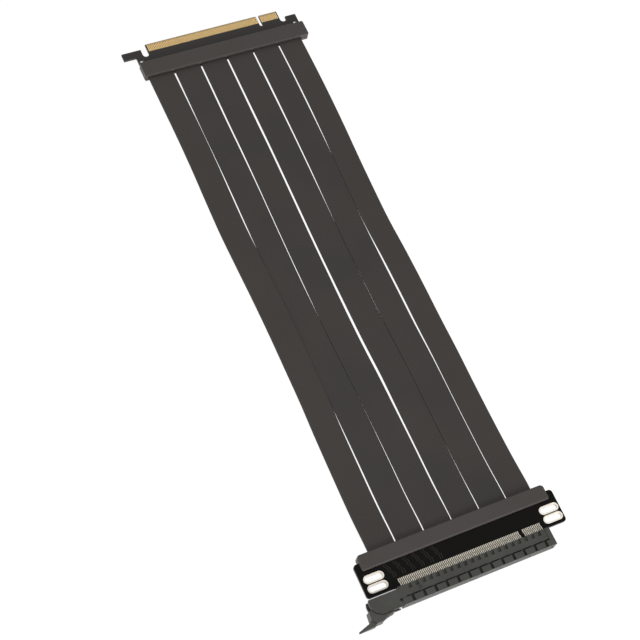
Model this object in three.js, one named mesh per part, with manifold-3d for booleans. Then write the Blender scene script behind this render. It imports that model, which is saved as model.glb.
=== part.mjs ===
// A straight riser cable: a card edge board at one end, a card socket with a
// hinged retention latch at the other, and six flat ribbons between them.
// Millimetres, +Z up. It lies flat, as on a table. While it is built, X = 0 is the
// middle of the card edge, Y = 0 the cable side of the socket's solder tails and
// Z = 0 the table; the finished model is moved to the middle of its own footprint.

import * as THREE from 'three';
import { mergeVertices } from 'three/addons/utils/BufferGeometryUtils.js';
import Module from 'manifold-3d';

const wasm = await Module();
wasm.setup();

// Driving dimensions

// Card edge, the standard sixteen-lane size
const contactPitch = 1.0;
const contactsBeforeKey = 71;
const contactsAfterKey = 11;
const keyWidth = 1.9;
const keyToContact = 0.55;
const edgeToContact = 1.1;
const boardThickness = 1.6;
const fingerWidth = 0.7;
const fingerLength = 5.2;
const fingerSetback = 0.4;
const fingerHeight = 0.05;
const bevelLength = 1.2;
const bevelDepth = 0.4;

// Card edge board, seen from above
const tabHeight = 8.7;
const tabGapWidth = 3.8;
const keyDepth = 7.9;
const hookWidth = 12.0;
const hookHeight = 4.7;
const hookSetback = 3.0;
const hookNeckWidth = 4.4;
const lugWidth = 6.7;
const lugSetback = 5.4;
const toolingHoleRadius = 1.3;
const toolingHoleSetback = 11.3;
const toolingHoleInset = 2.3;
const boardStep = 1.4;

// Cover bars
const barHeight = 5.6;
const barEdgeRadius = 0.6;
const partingGap = 0.1;
const plugBarDepth = 10.3;
const plugBarLeftOverhang = 0.1;
const plugBarRightOverhang = 1.6;
const plugBarCorner = 1.0;
const plugBarToTip = 12.7;
const plugBoardGrip = 4.9;
const socketBarDepth = 8.5;
const socketBarWidth = 110.2;
const socketBarOffset = -2.1;
const socketBarCorner = 2.0;
const socketBarNear = 9.7;
const socketBoardGrip = 4.8;
const cableWall = 1.2;
const barWall = 1.2;
const barEndWall = 1.6;
const mouldGrip = 2.0;
const ribbonToBoard = 0.8;
const seatClearance = 0.15;

// Socket board
const earBoardWidth = 117.3;
const earBoardOffset = -1.75;
const earBoardCorner = 1.8;
const boardToHousing = 0.2;
const slotLength = 10.0;
const slotWidth = 3.2;
const slotRim = 0.7;
const slotRimHeight = 0.05;
const slotSpacing = 5.2;
const slotSpread = 103.35;
const slotOffset = -1.1;
const slotFirstRow = -0.1;

// Socket
const housingEndWall = 1.9;
const housingHeight = 7.5;
const bodyHeight = 6.7;
const housingRear = -4.4;
const housingMouth = -14.2;
const flangeDepth = 3.3;
const cardSlotWidth = 1.8;
const cardSlotDepth = 8.4;
const cardSlotEndGap = 0.4;
const mouthLead = 0.6;
const windowPitch = 6.5;
const windowCount = 13;
const windowWidth = 1.1;
const windowFront = 0.6;
const windowOverrun = 0.6;
const windowDepth = 1.7;
const rearNotchPitch = 4.0;
const rearNotchCount = 20;
const rearNotchWidth = 0.8;
const rearNotchLength = 0.9;
const rearNotchDepth = 0.6;
const endRibWidth = 2.6;
const endRibHeight = 0.25;
const dimpleRadius = 1.0;
const dimpleDepth = 0.3;
const dimpleFromEnd = 11.0;
const dimpleFromRear = 4.0;

// Solder tails
const tailWidth = 0.5;
const tailThickness = 0.28;
const tailFoot = 1.8;
const tailRise = 1.1;
const tailSlope = 0.8;
const tailSeat = 0.02;
const tailRoot = 0.4;

// Retention latch and the cheeks that carry it
const cheekThickness = 1.4;
const cheekMouth = -14.4;
const cheekRear = -5.3;
const cheekNotch = 1.1;
const cheekRootDepth = 5.0;
const latchClearance = 0.3;
const pivotX = -55.5;
const pivotY = -8.0;
const trunnionRadius = 1.2;
const trunnionLength = 0.9;
const trunnionClearance = 0.1;
const leverRadius = 2.4;
const leverNose = 4.0;
const leverBack = 6.2;
const hookSlotWidth = 2.2;
const hookSlotReach = 0.5;
const latchHeadThickness = 6.8;
const latchHeadFront = -17.5;
const latchHeadLeft = 8.3;
const latchHeadRight = 5.0;
const fingerTabReach = 15.9;
const fingerTabRoot = 3.2;
const fingerTabTip = 0.8;
const fingerTabThickness = 4.2;
const fingerTabTipThickness = 1.4;

// Ribbons, numbered from the hook side. sway and lift are chosen by hand at even
// stations from the card edge end to the socket end: sway is the sideways drift off
// the straight line between the two bars, lift the height of the underside.
const ribbonSpan = 311.1;
const ribbonThickness = 1.0;
const ribbonCorner = 0.3;
const ribbonStraight = 4.0;
const ribbonSideClearance = 0.3;
const ribbonStep = 9.0;
const ribbons = [
  {
    width: 15.4,
    plugX: -41.2,
    socketX: -41.6,
    sway: [0.5, 0.9, 0.8, 0.4, 0.0, 0.2, 0.4, 0.5, 0.3, 0.1, 0.1, 0.1, 0.1],
    lift: [1.0, 0.25, 0.15, 0.4, 1.0, 1.2, 0.6, 0.15, 0.2, 0.9, 1.1, 0.5, 1.2],
  },
  {
    width: 15.9,
    plugX: -24.5,
    socketX: -25.3,
    sway: [0.2, 0.3, 0.2, -0.1, -0.4, -0.3, -0.1, 0.1, -0.1, -0.3, -0.3, -0.2, -0.1],
    lift: [0.9, 0.15, 0.3, 0.9, 0.7, 0.2, 0.15, 0.3, 0.9, 0.6, 0.15, 0.4, 1.4],
  },
  {
    width: 15.9,
    plugX: -7.7,
    socketX: -8.8,
    sway: [0.3, 0.4, 0.1, -0.4, -0.8, -0.7, -0.4, -0.3, -0.4, -0.6, -0.6, -0.5, -0.3],
    lift: [1.2, 0.5, 0.15, 0.2, 0.6, 1.0, 0.8, 0.2, 0.15, 0.3, 0.8, 0.6, 1.3],
  },
  {
    width: 15.9,
    plugX: 9.2,
    socketX: 7.6,
    sway: [0.4, 0.3, 0.0, -0.3, -0.7, -0.5, -0.2, 0.1, 0.1, -0.1, -0.1, -0.3, -0.3],
    lift: [0.8, 0.3, 0.15, 0.5, 1.1, 0.8, 0.2, 0.15, 0.5, 1.0, 0.6, 0.2, 1.1],
  },
  {
    width: 15.9,
    plugX: 26.0,
    socketX: 24.0,
    sway: [0.2, 0.2, -0.2, -0.6, -0.9, -0.7, -0.5, -0.3, -0.3, -0.3, -0.2, -0.2, -0.2],
    lift: [1.1, 0.4, 0.6, 1.1, 0.6, 0.15, 0.2, 0.8, 1.0, 0.4, 0.15, 0.5, 1.5],
  },
  {
    width: 14.8,
    plugX: 42.2,
    socketX: 39.8,
    sway: [0.5, 0.4, -0.2, -0.9, -1.2, -1.1, -0.8, -0.4, -0.5, -0.5, -0.4, -0.3, -0.2],
    lift: [0.9, 0.2, 0.15, 0.3, 0.9, 1.3, 0.9, 0.3, 0.15, 0.2, 0.7, 0.9, 1.6],
  },
];

// Worked out from the driving dimensions

const tabWidth =
  2 * edgeToContact +
  (contactsBeforeKey - 1 + contactsAfterKey - 1) * contactPitch +
  2 * keyToContact +
  keyWidth;
const tabLeft = -tabWidth / 2;
const tabRight = tabWidth / 2;
const keyLeft = tabLeft + edgeToContact + (contactsBeforeKey - 1) * contactPitch + keyToContact;
const keyRight = keyLeft + keyWidth;
const contactXs = [
  ...Array.from({ length: contactsBeforeKey }, (_, i) => tabLeft + edgeToContact + i * contactPitch),
  ...Array.from({ length: contactsAfterKey }, (_, i) => keyRight + keyToContact + i * contactPitch),
];

const housingLength = tabWidth + 2 * housingEndWall;
const socketBarFar = socketBarNear + socketBarDepth;
const plugBarNear = socketBarFar + ribbonSpan;
const plugBarFar = plugBarNear + plugBarDepth;
const plugTip = plugBarFar + plugBarToTip;
const plugMid = barHeight / 2;
const socketMid = housingHeight / 2;

// One end of the cable, seen from its bar: y(t) runs t mm from the cable face
// towards the board.
const plugEnd = {
  name: 'plug',
  left: tabLeft - tabGapWidth - hookNeckWidth - plugBarLeftOverhang,
  right: tabRight + tabGapWidth + lugWidth + plugBarRightOverhang,
  depth: plugBarDepth,
  cableCorner: plugBarCorner,
  boardCorner: plugBarCorner,
  middle: plugMid,
  boardEdge: plugBarDepth - plugBoardGrip,
  y: (t) => plugBarNear + t,
  ribbonX: (ribbon) => ribbon.plugX,
};
const socketEnd = {
  name: 'socket',
  left: socketBarOffset - socketBarWidth / 2,
  right: socketBarOffset + socketBarWidth / 2,
  depth: socketBarDepth,
  cableCorner: socketBarCorner,
  boardCorner: plugBarCorner,
  middle: socketMid,
  boardEdge: socketBarDepth - socketBoardGrip,
  y: (t) => socketBarFar - t,
  ribbonX: (ribbon) => ribbon.socketX,
};

// Solids and how they are joined and cut

// Turns a closed three.js geometry into a solid that can be joined and cut.
function solid(geometry) {
  const bare = geometry.clone();
  bare.deleteAttribute('normal');
  bare.deleteAttribute('uv');
  const merged = mergeVertices(bare, 1e-4);
  return new wasm.Manifold(new wasm.Mesh({
    numProp: 3,
    vertProperties: new Float32Array(merged.attributes.position.array),
    triVerts: new Uint32Array(merged.index.array),
  }));
}

// Turns a solid back into a three.js geometry.
function geometryOf(body) {
  const mesh = body.getMesh();
  const geometry = new THREE.BufferGeometry();
  geometry.setAttribute('position', new THREE.BufferAttribute(mesh.vertProperties, 3));
  geometry.setIndex(new THREE.BufferAttribute(mesh.triVerts, 1));
  geometry.computeVertexNormals();
  return geometry;
}

function boxSolid(x0, x1, y0, y1, z0, z1) {
  const low = [Math.min(x0, x1), Math.min(y0, y1), Math.min(z0, z1)];
  const high = [Math.max(x0, x1), Math.max(y0, y1), Math.max(z0, z1)];
  const geometry = new THREE.BoxGeometry(high[0] - low[0], high[1] - low[1], high[2] - low[2]);
  geometry.translate((low[0] + high[0]) / 2, (low[1] + high[1]) / 2, (low[2] + high[2]) / 2);
  return solid(geometry);
}

// A plan outline raised from z0 to z1.
function plate(shape, z0, z1, curveSegments = 6) {
  const geometry = new THREE.ExtrudeGeometry(shape, {
    depth: z1 - z0,
    bevelEnabled: false,
    curveSegments,
  });
  geometry.translate(0, 0, z0);
  return solid(geometry);
}

// A profile drawn in Y and Z, run along X from x0 to x1.
function bar(points, x0, x1) {
  const shape = new THREE.Shape(points.map(([y, z]) => new THREE.Vector2(y, z)));
  const geometry = new THREE.ExtrudeGeometry(shape, { depth: x1 - x0, bevelEnabled: false });
  const turn = new THREE.Matrix4().makeBasis(
    new THREE.Vector3(0, 1, 0),
    new THREE.Vector3(0, 0, 1),
    new THREE.Vector3(1, 0, 0),
  );
  geometry.applyMatrix4(turn);
  geometry.translate(x0, 0, 0);
  return solid(geometry);
}

function roundBar(x, y, radius, z0, z1, sides = 20) {
  const geometry = new THREE.CylinderGeometry(radius, radius, z1 - z0, sides);
  geometry.rotateX(Math.PI / 2);
  geometry.translate(x, y, (z0 + z1) / 2);
  return solid(geometry);
}

// A rectangle with its own radius at each corner: lower left, lower right,
// upper right, upper left.
function roundedRectangle(x0, x1, y0, y1, [r0, r1, r2, r3]) {
  const shape = new THREE.Shape();
  shape.moveTo(x0 + r0, y0);
  shape.lineTo(x1 - r1, y0);
  shape.absarc(x1 - r1, y0 + r1, r1, -Math.PI / 2, 0, false);
  shape.lineTo(x1, y1 - r2);
  shape.absarc(x1 - r2, y1 - r2, r2, 0, Math.PI / 2, false);
  shape.lineTo(x0 + r3, y1);
  shape.absarc(x0 + r3, y1 - r3, r3, Math.PI / 2, Math.PI, false);
  shape.lineTo(x0, y0 + r0);
  shape.absarc(x0 + r0, y0 + r0, r0, Math.PI, Math.PI * 1.5, false);
  return shape;
}

// A slot with round ends, lying along X.
function roundEndedSlot(x, y, length, width) {
  const r = width / 2;
  return roundedRectangle(x - length / 2, x + length / 2, y - r, y + r, [r, r, r, r]);
}

// Boards

// The card edge board: hook, card tab with its key, and lug, from left to right.
function plugBoardOutline() {
  const root = plugTip - tabHeight;
  const gapRadius = tabGapWidth / 2;
  const hookRight = tabLeft - tabGapWidth;
  const hookLeft = hookRight - hookWidth;
  const neckLeft = hookRight - hookNeckWidth;
  const hookTop = plugTip - hookSetback;
  const hookBottom = hookTop - hookHeight;
  const lugLeft = tabRight + tabGapWidth;
  const lugRight = lugLeft + lugWidth;
  const lugTop = plugTip - lugSetback;
  const step = plugBarFar + seatClearance;
  const back = plugEnd.y(plugEnd.boardEdge);
  const innerLeft = Math.max(neckLeft, plugEnd.left) + boardStep;
  const innerRight = Math.min(lugRight, plugEnd.right) - boardStep;
  const keyRadius = keyWidth / 2;
  const keyBottom = plugTip - keyDepth;
  const shape = new THREE.Shape();
  shape.moveTo(innerLeft, back);
  shape.lineTo(innerRight, back);
  shape.lineTo(innerRight, step);
  shape.lineTo(lugRight, step);
  shape.lineTo(lugRight, lugTop);
  shape.lineTo(lugLeft, lugTop);
  shape.lineTo(lugLeft, root + gapRadius);
  shape.absarc(tabRight + gapRadius, root + gapRadius, gapRadius, 0, -Math.PI, true);
  shape.lineTo(tabRight, plugTip);
  shape.lineTo(keyRight, plugTip);
  shape.lineTo(keyRight, keyBottom + keyRadius);
  shape.absarc(keyLeft + keyRadius, keyBottom + keyRadius, keyRadius, 0, -Math.PI, true);
  shape.lineTo(keyLeft, plugTip);
  shape.lineTo(tabLeft, plugTip);
  shape.lineTo(tabLeft, root + gapRadius);
  shape.absarc(tabLeft - gapRadius, root + gapRadius, gapRadius, 0, -Math.PI, true);
  shape.lineTo(hookRight, hookTop);
  shape.lineTo(hookLeft, hookTop);
  shape.lineTo(hookLeft, hookBottom);
  shape.lineTo(neckLeft, hookBottom);
  shape.lineTo(neckLeft, step);
  shape.lineTo(innerLeft, step);
  return shape;
}

function plugBoard() {
  const low = plugMid - boardThickness / 2;
  const high = plugMid + boardThickness / 2;
  let board = plate(plugBoardOutline(), low, high);
  const holeY = plugTip - toolingHoleSetback;
  const hookRight = tabLeft - tabGapWidth;
  const lugRight = tabRight + tabGapWidth + lugWidth;
  for (const x of [hookRight - hookNeckWidth + toolingHoleInset, lugRight - toolingHoleInset]) {
    board = board.subtract(roundBar(x, holeY, toolingHoleRadius, low - 1, high + 1, 16));
  }
  for (const x of contactXs) {
    const start = plugTip - fingerSetback;
    board = board.add(boxSolid(
      x - fingerWidth / 2, x + fingerWidth / 2,
      start - fingerLength, start,
      low - fingerHeight, high + fingerHeight,
    ));
  }
  // The tip is bevelled on both faces so that it finds the socket's mouth.
  const reach = fingerHeight + 1;
  for (const [face, side] of [[high, 1], [low, -1]]) {
    const wedge = [
      [plugTip - bevelLength, face + side * reach],
      [plugTip - bevelLength, face + side * 2 * fingerHeight],
      [plugTip, face - side * bevelDepth],
      [plugTip + 1, face - side * bevelDepth],
      [plugTip + 1, face + side * reach],
    ];
    const ordered = side > 0 ? wedge : wedge.reverse();
    board = board.subtract(bar(ordered, tabLeft - 1, tabRight + 1));
  }
  return board;
}

function socketBoard() {
  const low = socketMid - boardThickness / 2;
  const high = socketMid + boardThickness / 2;
  const left = earBoardOffset - earBoardWidth / 2;
  const right = earBoardOffset + earBoardWidth / 2;
  const front = housingRear + boardToHousing;
  const back = socketEnd.y(socketEnd.boardEdge);
  const r = earBoardCorner;
  const outline = roundedRectangle(left, right, front, back, [r, r, r, r]);
  let board = plate(outline, low, high);
  for (const side of [-1, 1]) {
    for (const row of [0, 1]) {
      const x = slotOffset + side * slotSpread / 2;
      const y = slotFirstRow + row * slotSpacing;
      const rim = roundEndedSlot(x, y, slotLength + 2 * slotRim, slotWidth + 2 * slotRim);
      const hole = roundEndedSlot(x, y, slotLength, slotWidth);
      board = board
        .add(plate(rim, low - slotRimHeight, high + slotRimHeight, 5))
        .subtract(plate(hole, low - 1, high + 1, 5));
    }
  }
  return board;
}

// Cover bars and what is potted inside them

// The outside of a bar: a plan outline with every top and bottom edge rounded.
function barBlock(end) {
  const cable = end.cableCorner;
  const board = end.boardCorner;
  const ahead = end.y(1) > end.y(0);
  const corners = ahead ? [cable, cable, board, board] : [board, board, cable, cable];
  const near = Math.min(end.y(0), end.y(end.depth));
  const far = Math.max(end.y(0), end.y(end.depth));
  const geometry = new THREE.ExtrudeGeometry(
    roundedRectangle(end.left, end.right, near, far, corners),
    {
      depth: barHeight - 2 * barEdgeRadius,
      bevelEnabled: true,
      bevelThickness: barEdgeRadius,
      bevelSize: barEdgeRadius,
      bevelOffset: -barEdgeRadius,
      bevelSegments: 2,
      curveSegments: 4,
    },
  );
  geometry.translate(0, 0, end.middle - barHeight / 2 + barEdgeRadius);
  return solid(geometry);
}

// Where the first and last ribbon's edges lie at one end.
function ribbonLimits(end) {
  const first = ribbons[0];
  const last = ribbons[ribbons.length - 1];
  return [end.ribbonX(first) - first.width / 2, end.ribbonX(last) + last.width / 2];
}

// The room inside a pair of cover halves, and its two mouths.
function barRoom(end, board) {
  const [firstEdge, lastEdge] = ribbonLimits(end);
  const left = firstEdge - ribbonSideClearance;
  const right = lastEdge + ribbonSideClearance;
  const halfRoom = barHeight / 2 - barWall;
  const halfMouth = ribbonThickness / 2 + ribbonSideClearance;
  const roomEnd = end.boardEdge + mouldGrip + seatClearance;
  const halfBoard = boardThickness / 2 + seatClearance;
  const boardLow = Math.max(board.left - seatClearance, end.left - 1);
  const boardHigh = Math.min(board.right + seatClearance, end.right + 1);
  const mid = end.middle;
  return boxSolid(left, right, end.y(cableWall), end.y(roomEnd), mid - halfRoom, mid + halfRoom)
    .add(boxSolid(left, right, end.y(-1), end.y(cableWall + 1), mid - halfMouth, mid + halfMouth))
    .add(boxSolid(
      boardLow, boardHigh,
      end.y(end.boardEdge - seatClearance), end.y(end.depth + 1),
      mid - halfBoard, mid + halfBoard,
    ));
}

function coverHalf(end, board, side) {
  const parting = end.middle + side * partingGap / 2;
  const beyond = end.middle - side * barHeight;
  const away = boxSolid(
    end.left - 1, end.right + 1,
    end.y(-1), end.y(end.depth + 1),
    Math.min(parting, beyond), Math.max(parting, beyond),
  );
  return barBlock(end).subtract(barRoom(end, board)).subtract(away);
}

// The moulded bar that pots the soldered wires: it grips the board's edge on one
// side and every ribbon's end on the other.
function innerMould(end, board) {
  const [firstEdge, lastEdge] = ribbonLimits(end);
  const half = barHeight / 2 - barWall - seatClearance;
  const mid = end.middle;
  const start = cableWall + seatClearance;
  const finish = end.boardEdge + mouldGrip;
  const left = firstEdge - ribbonSideClearance + seatClearance;
  const right = lastEdge + ribbonSideClearance - seatClearance;
  const halfBoard = boardThickness / 2 + seatClearance;
  let mould = boxSolid(left, right, end.y(start), end.y(finish), mid - half, mid + half);
  mould = mould.subtract(boxSolid(
    board.left - seatClearance, board.right + seatClearance,
    end.y(end.boardEdge - seatClearance), end.y(finish + 1),
    mid - halfBoard, mid + halfBoard,
  ));
  const halfRibbon = ribbonThickness / 2 + seatClearance;
  const ribbonEnd = end.boardEdge - ribbonToBoard + seatClearance;
  for (const ribbon of ribbons) {
    const x = end.ribbonX(ribbon);
    const reach = ribbon.width / 2 + seatClearance;
    mould = mould.subtract(boxSolid(
      x - reach, x + reach,
      end.y(start - 1), end.y(ribbonEnd),
      mid - halfRibbon, mid + halfRibbon,
    ));
  }
  return mould;
}

// Socket

// Cheeks: two ears at the housing's end, round about the pivot, that hold the latch.
function cheekOutline() {
  const end = -housingLength / 2;
  const round = pivotY - cheekMouth;
  const lift = Math.asin((cheekRear - pivotY) / round);
  const shape = new THREE.Shape();
  shape.moveTo(end + 1, cheekRear);
  shape.lineTo(end + 1, cheekRear - cheekRootDepth);
  shape.lineTo(end - cheekNotch, cheekRear - cheekRootDepth);
  shape.lineTo(end - cheekNotch, cheekMouth);
  shape.lineTo(pivotX, cheekMouth);
  shape.absarc(pivotX, pivotY, round, -Math.PI / 2, -Math.PI - lift, true);
  return shape;
}

// One solder tail in side view, for the row above (side 1) or below (side -1).
function tailProfile(side) {
  const face = boardThickness / 2 + tailSeat;
  const points = [
    [0, 0],
    [0, tailThickness],
    [-tailFoot, tailThickness],
    [-tailFoot - tailSlope, tailRise],
    [housingRear - tailRoot, tailRise],
    [housingRear - tailRoot, tailRise - tailThickness],
    [-tailFoot - tailSlope - tailThickness / 2, tailRise - tailThickness],
    [-tailFoot - tailThickness / 2, 0],
  ];
  const placed = points.map(([y, z]) => [y, socketMid + side * (face + z)]);
  return side > 0 ? placed : placed.reverse();
}

function socketHousing() {
  const mid = socketMid;
  const half = housingHeight / 2;
  const halfBody = bodyHeight / 2;
  const end = housingLength / 2;
  const flangeRear = housingMouth + flangeDepth;
  let body = boxSolid(-end, end, housingMouth, housingRear, mid - halfBody, mid + halfBody);
  body = body.add(boxSolid(-end, end, housingMouth, flangeRear, mid - half, mid + half));
  for (const side of [-1, 1]) {
    const inner = side * (end - endRibWidth);
    body = body.add(boxSolid(
      inner, side * end, flangeRear, housingRear,
      mid - halfBody - endRibHeight, mid + halfBody + endRibHeight,
    ));
  }
  for (const side of [-1, 1]) {
    const outer = mid + side * half;
    const cheek = plate(
      cheekOutline(),
      Math.min(outer, outer - side * cheekThickness),
      Math.max(outer, outer - side * cheekThickness),
      16,
    );
    const bottom = outer - side * cheekThickness;
    const seat = roundBar(
      pivotX, pivotY, trunnionRadius + trunnionClearance,
      Math.min(bottom - side, bottom + side * (trunnionLength + trunnionClearance)),
      Math.max(bottom - side, bottom + side * (trunnionLength + trunnionClearance)),
    );
    body = body.add(cheek.subtract(seat));
  }
  // The card slot, in two lengths either side of the key, with a lead-in.
  const slotHalf = cardSlotWidth / 2;
  const leadHalf = slotHalf + mouthLead;
  const slotFloor = housingMouth + cardSlotDepth;
  const profile = [
    [housingMouth - 1, mid - leadHalf - 1],
    [slotFloor, mid - slotHalf],
    [slotFloor, mid + slotHalf],
    [housingMouth - 1, mid + leadHalf + 1],
  ];
  profile.splice(1, 0, [housingMouth, mid - leadHalf], [housingMouth + mouthLead, mid - slotHalf]);
  profile.splice(4 + 1, 0, [housingMouth + mouthLead, mid + slotHalf], [housingMouth, mid + leadHalf]);
  for (const [x0, x1] of [
    [tabLeft - cardSlotEndGap, keyLeft + cardSlotEndGap / 2],
    [keyRight - cardSlotEndGap / 2, tabRight + cardSlotEndGap],
  ]) {
    body = body.subtract(bar(profile, x0, x1));
  }
  for (const side of [-1, 1]) {
    const outer = mid + side * half;
    for (let i = 0; i < windowCount; i += 1) {
      const x = (i - (windowCount - 1) / 2) * windowPitch;
      body = body.subtract(boxSolid(
        x - windowWidth / 2, x + windowWidth / 2,
        housingMouth + windowFront, flangeRear + windowOverrun,
        outer - side * windowDepth, outer + side,
      ));
    }
    for (let i = 0; i < rearNotchCount; i += 1) {
      const x = (i - (rearNotchCount - 1) / 2) * rearNotchPitch;
      body = body.subtract(boxSolid(
        x - rearNotchWidth / 2, x + rearNotchWidth / 2,
        housingRear - rearNotchLength, housingRear + 1,
        mid + side * (halfBody - rearNotchDepth), mid + side * (halfBody + 1),
      ));
    }
  }
  const top = mid + halfBody;
  body = body.subtract(roundBar(
    -end + dimpleFromEnd, housingRear - dimpleFromRear, dimpleRadius, top - dimpleDepth, top + 1, 12,
  ));
  for (const x of contactXs) {
    for (const side of [-1, 1]) {
      body = body.add(bar(tailProfile(side), x - tailWidth / 2, x + tailWidth / 2));
    }
  }
  return body;
}

// The latch: a forked lever on two trunnions, a head that hooks over the card's
// shoulder beyond the cheeks, and a finger tab.
function latch() {
  const mid = socketMid;
  const halfLever = housingHeight / 2 - cheekThickness - latchClearance;
  const halfHead = latchHeadThickness / 2;
  const cheekRound = pivotY - cheekMouth;
  const headInner = cheekRound + latchClearance;
  const headTop = cheekMouth - latchClearance;

  const lever = new THREE.Shape();
  lever.moveTo(pivotX + leverRadius, pivotY);
  lever.lineTo(pivotX + leverNose, headTop - 0.5);
  lever.lineTo(pivotX - leverBack, headTop - 0.5);
  lever.lineTo(pivotX - leverRadius, pivotY);
  lever.absarc(pivotX, pivotY, leverRadius, Math.PI, 0, true);
  let body = plate(lever, mid - halfLever, mid + halfLever, 10);

  const head = new THREE.Shape();
  head.moveTo(pivotX + latchHeadRight, headTop);
  head.lineTo(pivotX + latchHeadRight, headTop - 0.5);
  head.quadraticCurveTo(pivotX - 0.6, headTop - 1.2, pivotX - 2.2, latchHeadFront);
  head.lineTo(pivotX - latchHeadLeft + 1.9, latchHeadFront);
  head.lineTo(pivotX - latchHeadLeft, headTop);
  head.lineTo(pivotX - latchHeadLeft + 0.5, pivotY - 2.5);
  head.lineTo(pivotX, pivotY - 2.5);
  head.lineTo(pivotX, headTop);
  const headBlock = plate(head, mid - halfHead, mid + halfHead, 8);
  const keepOut = roundBar(pivotX, pivotY, headInner, mid - halfHead - 1, mid + halfHead + 1, 48);
  body = body.add(headBlock.subtract(keepOut));

  // The finger tab tapers in plan and in height to a blunt tip.
  const rootX = pivotX - latchHeadLeft + 1.5;
  const tipX = pivotX - fingerTabReach;
  const rootY = headTop - 0.4;
  const tipY = latchHeadFront - 0.3;
  body = body.add(solid(taperedBlock(
    [rootX, rootY, fingerTabRoot, fingerTabThickness],
    [tipX, tipY, fingerTabTip, fingerTabTipThickness],
    mid,
  )));

  // The card's hook passes through a slot; only the nose beside it blocks the way.
  body = body.subtract(boxSolid(
    pivotX - hookSlotReach, pivotX + latchHeadRight + 1,
    latchHeadFront - 1, pivotY - leverRadius,
    mid - hookSlotWidth / 2, mid + hookSlotWidth / 2,
  ));
  body = body.subtract(boxSolid(
    pivotX - leverBack + 2.4, pivotX + latchHeadRight + 1,
    cheekMouth + 0.4, pivotY - leverRadius + 1.5,
    mid - hookSlotWidth / 2, mid + hookSlotWidth / 2,
  ));
  for (const side of [-1, 1]) {
    const face = mid + side * halfLever;
    const end = face + side * (latchClearance + trunnionLength);
    body = body.add(roundBar(
      pivotX, pivotY, trunnionRadius,
      Math.min(face - side * 0.3, end), Math.max(face - side * 0.3, end),
    ));
  }
  return body;
}

// A block between two upright rectangles, each given as x, y of its near edge,
// its depth in Y and its height about the middle.
function taperedBlock([x0, y0, depth0, height0], [x1, y1, depth1, height1], mid) {
  const corners = [
    [x0, y0, mid - height0 / 2],
    [x0, y0 - depth0, mid - height0 / 2],
    [x0, y0 - depth0, mid + height0 / 2],
    [x0, y0, mid + height0 / 2],
    [x1, y1, mid - height1 / 2],
    [x1, y1 - depth1, mid - height1 / 2],
    [x1, y1 - depth1, mid + height1 / 2],
    [x1, y1, mid + height1 / 2],
  ];
  const faces = [
    [3, 2, 1, 0],
    [4, 5, 6, 7],
    [0, 1, 5, 4],
    [1, 2, 6, 5],
    [2, 3, 7, 6],
    [3, 0, 4, 7],
  ];
  const geometry = new THREE.BufferGeometry();
  geometry.setAttribute('position', new THREE.Float32BufferAttribute(corners.flat(), 3));
  geometry.setIndex(faces.flatMap(([a, b, c, d]) => [a, b, c, a, c, d]));
  return geometry;
}

// Ribbons

// The middle line of a ribbon from inside one bar to inside the other.
function ribbonRoute(ribbon) {
  const plugReach = plugEnd.boardEdge - ribbonToBoard;
  const socketReach = socketEnd.boardEdge - ribbonToBoard;
  const points = [
    [ribbon.plugX, plugEnd.y(plugReach), plugMid],
    [ribbon.plugX, plugEnd.y(0), plugMid],
    [ribbon.plugX, plugEnd.y(-ribbonStraight), plugMid],
  ];
  const stations = ribbon.sway.length + 1;
  for (let i = 1; i < stations; i += 1) {
    const along = i / stations;
    points.push([
      THREE.MathUtils.lerp(ribbon.plugX, ribbon.socketX, along) + ribbon.sway[i - 1],
      THREE.MathUtils.lerp(plugBarNear, socketBarFar, along),
      ribbon.lift[i - 1] + ribbonThickness / 2,
    ]);
  }
  points.push(
    [ribbon.socketX, socketEnd.y(-ribbonStraight), socketMid],
    [ribbon.socketX, socketEnd.y(0), socketMid],
    [ribbon.socketX, socketEnd.y(socketReach), socketMid],
  );
  return new THREE.CatmullRomCurve3(
    points.map(([x, y, z]) => new THREE.Vector3(x, y, z)),
    false,
    'centripetal',
  );
}

// A flat section carried along the route, always level across.
function ribbonGeometry(ribbon) {
  const route = ribbonRoute(ribbon);
  const half = ribbon.width / 2;
  const rise = ribbonThickness / 2;
  const c = ribbonCorner;
  const section = [
    [-half, -rise + c], [-half + c, -rise], [half - c, -rise], [half, -rise + c],
    [half, rise - c], [half - c, rise], [-half + c, rise], [-half, rise - c],
  ];
  const steps = Math.round(route.getLength() / ribbonStep);
  const up = new THREE.Vector3();
  const across = new THREE.Vector3();
  const vertical = new THREE.Vector3(0, 0, 1);
  const positions = [];
  for (let i = 0; i <= steps; i += 1) {
    const centre = route.getPointAt(i / steps);
    const ahead = route.getTangentAt(i / steps);
    across.crossVectors(ahead, vertical).normalize().negate();
    up.crossVectors(ahead, across).normalize();
    for (const [u, v] of section) {
      const corner = centre.clone().addScaledVector(across, u).addScaledVector(up, v);
      positions.push(corner.x, corner.y, corner.z);
    }
  }
  const sides = section.length;
  const index = [];
  for (let i = 0; i < steps; i += 1) {
    for (let j = 0; j < sides; j += 1) {
      const a = i * sides + j;
      const b = i * sides + ((j + 1) % sides);
      index.push(a, b, b + sides, a, b + sides, a + sides);
    }
  }
  for (let j = 1; j < sides - 1; j += 1) {
    const last = steps * sides;
    index.push(0, j + 1, j, last, last + j, last + j + 1);
  }
  const geometry = new THREE.BufferGeometry();
  geometry.setAttribute('position', new THREE.Float32BufferAttribute(positions, 3));
  geometry.setIndex(index);
  geometry.computeVertexNormals();
  return geometry;
}

// The finished object

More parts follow.
